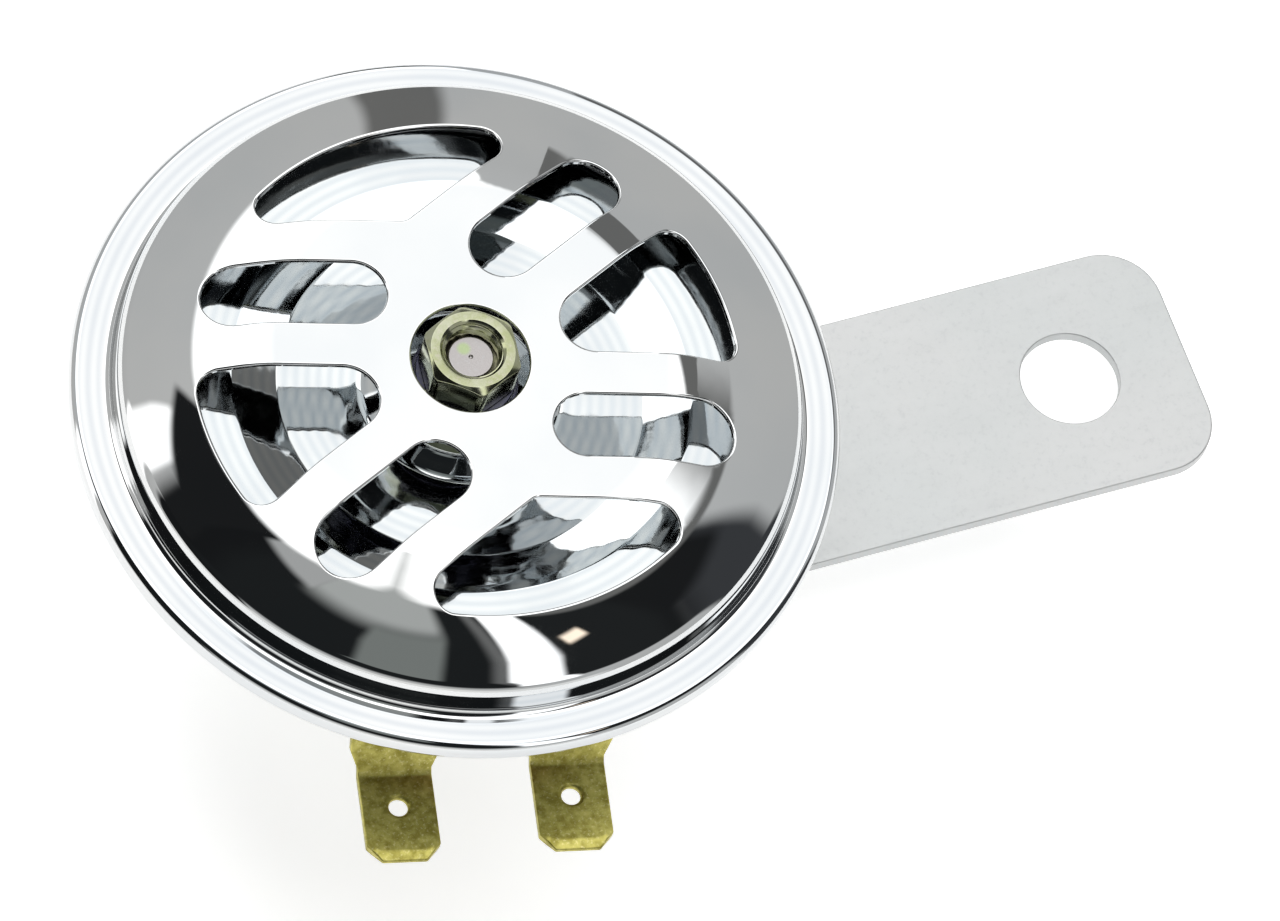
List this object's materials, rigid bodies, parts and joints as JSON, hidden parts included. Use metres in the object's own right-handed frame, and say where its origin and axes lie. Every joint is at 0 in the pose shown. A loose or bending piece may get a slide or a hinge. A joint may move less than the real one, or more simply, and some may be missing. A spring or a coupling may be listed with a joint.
{
  "type": "car horn",
  "caption": "Round electric car horn: chromed grille cover rolled over a drawn shell, tone disc and nut behind the grille, spade terminals at the back and a flat bracket with a bolt hole.",
  "frame": {"origin": "centre of the mounting bracket's hole, on the bracket's rear face", "axes": "+Z along the horn's axis towards the grille, +X from the horn's axis towards the bracket's hole"},
  "size_m": [0.1038, 0.0693, 0.0449],
  "materials": {
    "chrome": "polished",
    "zinc_steel": "satin zinc plating",
    "yellow_zinc": "yellow passivated zinc",
    "pole_steel": "machined",
    "spring_steel": "cold rolled",
    "brass": "dull",
    "contact_metal": "polished",
    "copper_wire": "enamelled copper",
    "bobbin_plastic": "moulded",
    "laminate": "pressed paper laminate",
    "gasket": "matte"
  },
  "bodies": {
    "root": {"adjuster_cap": "bobbin_plastic", "adjuster_nut": "zinc_steel", "adjusting_screw": "zinc_steel", "armature": "pole_steel", "body_shell": "zinc_steel", "coil_bobbin": "bobbin_plastic", "coil_lead_left": "copper_wire", "coil_lead_right": "copper_wire", "coil_winding": "copper_wire", "contact_base_pad": "laminate", "contact_bracket": "spring_steel", "contact_spacer": "laminate", "contact_spring": "spring_steel", "contact_top_washer": "laminate", "diaphragm": "spring_steel", "fixed_contact": "contact_metal", "front_gasket": "gasket", "grille_cover": "chrome", "hub_flat_washer": "yellow_zinc", "hub_lock_washer": "yellow_zinc", "hub_nut": "yellow_zinc", "hub_spacer": "yellow_zinc", "mounting_bracket": "zinc_steel", "moving_contact": "contact_metal", "pole_core": "pole_steel", "rear_gasket": "gasket", "rear_lock_washer": "zinc_steel", "rear_nut": "zinc_steel", "solder_tag": "brass", "tag_pad": "laminate", "terminal_insulator": "laminate", "terminal_left": "brass", "terminal_right": "brass", "terminal_rivet_left": "brass", "terminal_rivet_right": "brass", "tone_disc": "chrome"}
  },
  "joints": []
}
